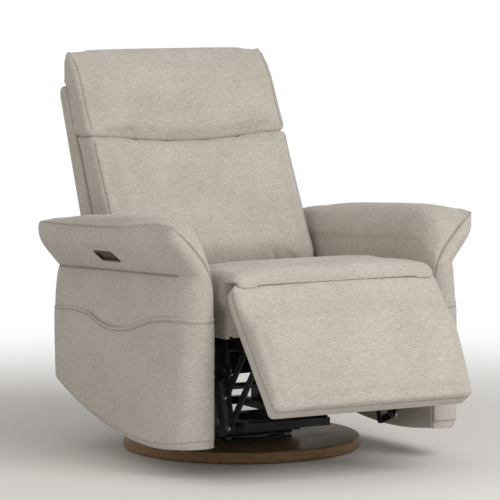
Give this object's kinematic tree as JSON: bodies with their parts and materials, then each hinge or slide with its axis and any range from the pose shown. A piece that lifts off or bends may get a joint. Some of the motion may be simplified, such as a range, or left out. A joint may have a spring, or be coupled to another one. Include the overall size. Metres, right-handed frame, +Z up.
{
  "type": "glider nursery chair",
  "caption": "Upholstered swivel glider with flared arms, a reclining back, a linkage leg rest, side pockets and a round wood plinth.",
  "frame": {"origin": "middle of the round base on the floor", "axes": "+Z up, the chair faces -Y, +X is the sitter's left"},
  "size_m": [0.8358, 1.1199, 1.002],
  "materials": {
    "plinth_wood": "satin",
    "felt": "matte felt",
    "steel_black": "satin black",
    "zinc": "zinc plated",
    "plywood": "raw",
    "upholstery": "woven chenille",
    "webbing": "elastic webbing",
    "nylon": "nylon",
    "pull_plastic": "satin brown",
    "cable_black": "satin"
  },
  "bodies": {
    "base": {"floor_felt": "felt", "plinth": "plinth_wood", "plinth_screws": "zinc", "swivel_lower_plate": "steel_black", "swivel_bearing": "nylon", "swivel_nut": "zinc"},
    "turntable": {"swivel_upper_plate": "steel_black", "glide_rail_left": "steel_black", "glide_rail_right": "steel_black", "glide_posts": "steel_black", "glide_front_bar": "steel_black", "glide_rear_bar": "steel_black", "glide_channels": "steel_black", "glide_upper_pins": "zinc"},
    "front_swing_links": {"swing_link_front_left": "steel_black", "swing_link_front_right": "steel_black"},
    "rear_swing_links": {"swing_link_rear_left": "steel_black", "swing_link_rear_right": "steel_black"},
    "carriage": {"carriage_plate_left": "steel_black", "carriage_plate_right": "steel_black", "carriage_front_tube": "steel_black", "carriage_rear_tube": "steel_black", "glide_lower_pins": "zinc", "seat_slides": "steel_black", "arm_board_left": "plywood", "arm_board_right": "plywood", "arm_left": "upholstery", "arm_right": "upholstery", "side_pocket_left": "upholstery", "side_pocket_right": "upholstery", "arm_bolts": "zinc", "pull_housing": "pull_plastic", "release_cable": "cable_black", "latch_box": "steel_black"},
    "seat": {"seat_runners": "plywood", "seat_side_rails": "plywood", "seat_cross_rails": "plywood", "seat_webbing": "webbing", "seat_cushion": "upholstery", "leg_hangers": "steel_black", "hanger_pins": "zinc", "back_brackets": "steel_black", "hinge_pins": "zinc"},
    "back": {"back_board": "plywood", "back_straps": "steel_black", "back_shell": "upholstery", "lumbar_cushion": "upholstery", "head_cushion": "upholstery"},
    "leg_swing_arms": {"swing_arms": "steel_black", "torque_tube": "steel_black", "swing_arm_pins": "zinc"},
    "leg_idler_arms": {"idler_arms": "steel_black"},
    "leg_lower_links": {"lower_lift_links": "steel_black"},
    "leg_upper_links": {"upper_lift_links": "steel_black"},
    "leg_rest": {"leg_rest_brackets": "steel_black", "leg_rest_pins": "zinc", "leg_rest_board": "plywood", "leg_rest_pad": "upholstery"},
    "release": {"release_paddle": "pull_plastic"}
  },
  "joints": [
    {"name": "swivel", "type": "hinge", "parent": "base", "child": "turntable", "pos_m": [0, 0, 0.035], "axis": [0, 0, 1], "continuous": true},
    {"name": "glide", "type": "hinge", "parent": "turntable", "child": "front_swing_links", "pos_m": [0, -0.15, 0.205], "axis": [-1, 0, 0], "range_deg": [-24, 24]},
    {"name": "glide_rear", "type": "hinge", "parent": "turntable", "child": "rear_swing_links", "pos_m": [0, 0.15, 0.205], "axis": [-1, 0, 0], "range_deg": [-24, 24]},
    {"name": "glide_carriage", "type": "hinge", "parent": "front_swing_links", "child": "carriage", "pos_m": [0, -0.15, 0.095], "axis": [-1, 0, 0], "range_deg": [-24, 24]},
    {"name": "seat_slide", "type": "slide", "parent": "carriage", "child": "seat", "axis": [0, -1, 0], "range_m": [-0.0185, 0.0525]},
    {"name": "recline", "type": "hinge", "parent": "seat", "child": "back", "pos_m": [0, 0.23, 0.35], "axis": [-1, 0, 0], "range_deg": [-9, 26]},
    {"name": "leg_rest_lift", "type": "hinge", "parent": "seat", "child": "leg_swing_arms", "pos_m": [0, -0.32145, 0.24591], "axis": [-1, 0, 0], "range_deg": [-35, 48]},
    {"name": "leg_idler", "type": "hinge", "parent": "seat", "child": "leg_idler_arms", "pos_m": [0, -0.27145, 0.22591], "axis": [-1, 0, 0], "range_deg": [-35, 48]},
    {"name": "leg_lower_knee", "type": "hinge", "parent": "leg_swing_arms", "child": "leg_lower_links", "pos_m": [0, -0.35768, 0.11068], "axis": [-1, 0, 0], "range_deg": [-48, 35]},
    {"name": "leg_upper_knee", "type": "hinge", "parent": "leg_swing_arms", "child": "leg_upper_links", "pos_m": [0, -0.33827, 0.18313], "axis": [-1, 0, 0], "range_deg": [-48, 35]},
    {"name": "leg_rest_tip", "type": "hinge", "parent": "leg_lower_links", "child": "leg_rest", "pos_m": [0, -0.49005, 0.28011], "axis": [-1, 0, 0], "range_deg": [-35, 48]},
    {"name": "release_pull", "type": "hinge", "parent": "carriage", "child": "release", "pos_m": [-0.39653, -0.02895, 0.51245], "axis": [0.0047, -0.999, 0.0444], "range_deg": [0, 20], "stiffness_Nm_per_rad": 0.25, "springref_deg": -11.46}
  ],
  "couplings": [
    {"joint": "glide_rear", "follows": "glide", "ratio": 1},
    {"joint": "glide_carriage", "follows": "glide", "ratio": -1},
    {"joint": "seat_slide", "follows": "recline", "m_per_rad": 0.11459},
    {"joint": "leg_idler", "follows": "leg_rest_lift", "ratio": 1},
    {"joint": "leg_lower_knee", "follows": "leg_rest_lift", "ratio": -1},
    {"joint": "leg_upper_knee", "follows": "leg_rest_lift", "ratio": -1},
    {"joint": "leg_rest_tip", "follows": "leg_rest_lift", "ratio": 1}
  ]
}
